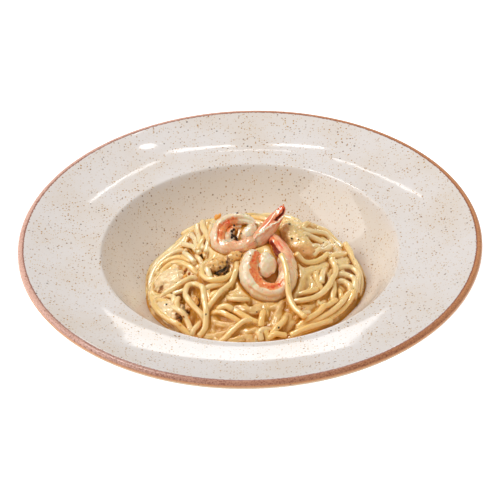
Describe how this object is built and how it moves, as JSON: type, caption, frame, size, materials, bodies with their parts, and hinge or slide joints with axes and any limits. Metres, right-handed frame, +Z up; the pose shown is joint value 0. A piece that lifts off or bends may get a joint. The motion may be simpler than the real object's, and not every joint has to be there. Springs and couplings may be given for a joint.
{
  "type": "plate of seafood spaghetti",
  "caption": "Wide-rimmed deep stoneware pasta plate holding a heap of creamy spaghetti with curled shrimps and mussels.",
  "frame": {"origin": "centre of the foot ring's underside, on the table", "axes": "+Z up, +X to the right and +Y away from the side that the shrimps face"},
  "size_m": [0.27, 0.27, 0.0517],
  "materials": {
    "stoneware": "glossy off-white glaze with small brown specks, and a mottled red-brown band on the lip",
    "cream": "wet, glossy cream sauce",
    "spaghetti": "boiled spaghetti with a wet coat of cream",
    "shrimp": "cooked shrimp flesh, pale outside and orange-red inside, wet",
    "coated_shrimp": "shrimp under a thick coat of cream",
    "mussel": "cooked mussel meat, golden with a dark frill, wet"
  },
  "bodies": {
    "root": {"plate": "stoneware", "cream_sauce": "cream", "spaghetti_heap": "spaghetti", "shrimp_back_left": "shrimp", "shrimp_front": "shrimp", "shrimp_coated": "coated_shrimp", "mussel_top": "mussel", "mussel_left": "mussel", "mussel_front_left": "mussel", "mussel_small": "mussel"}
  },
  "joints": []
}
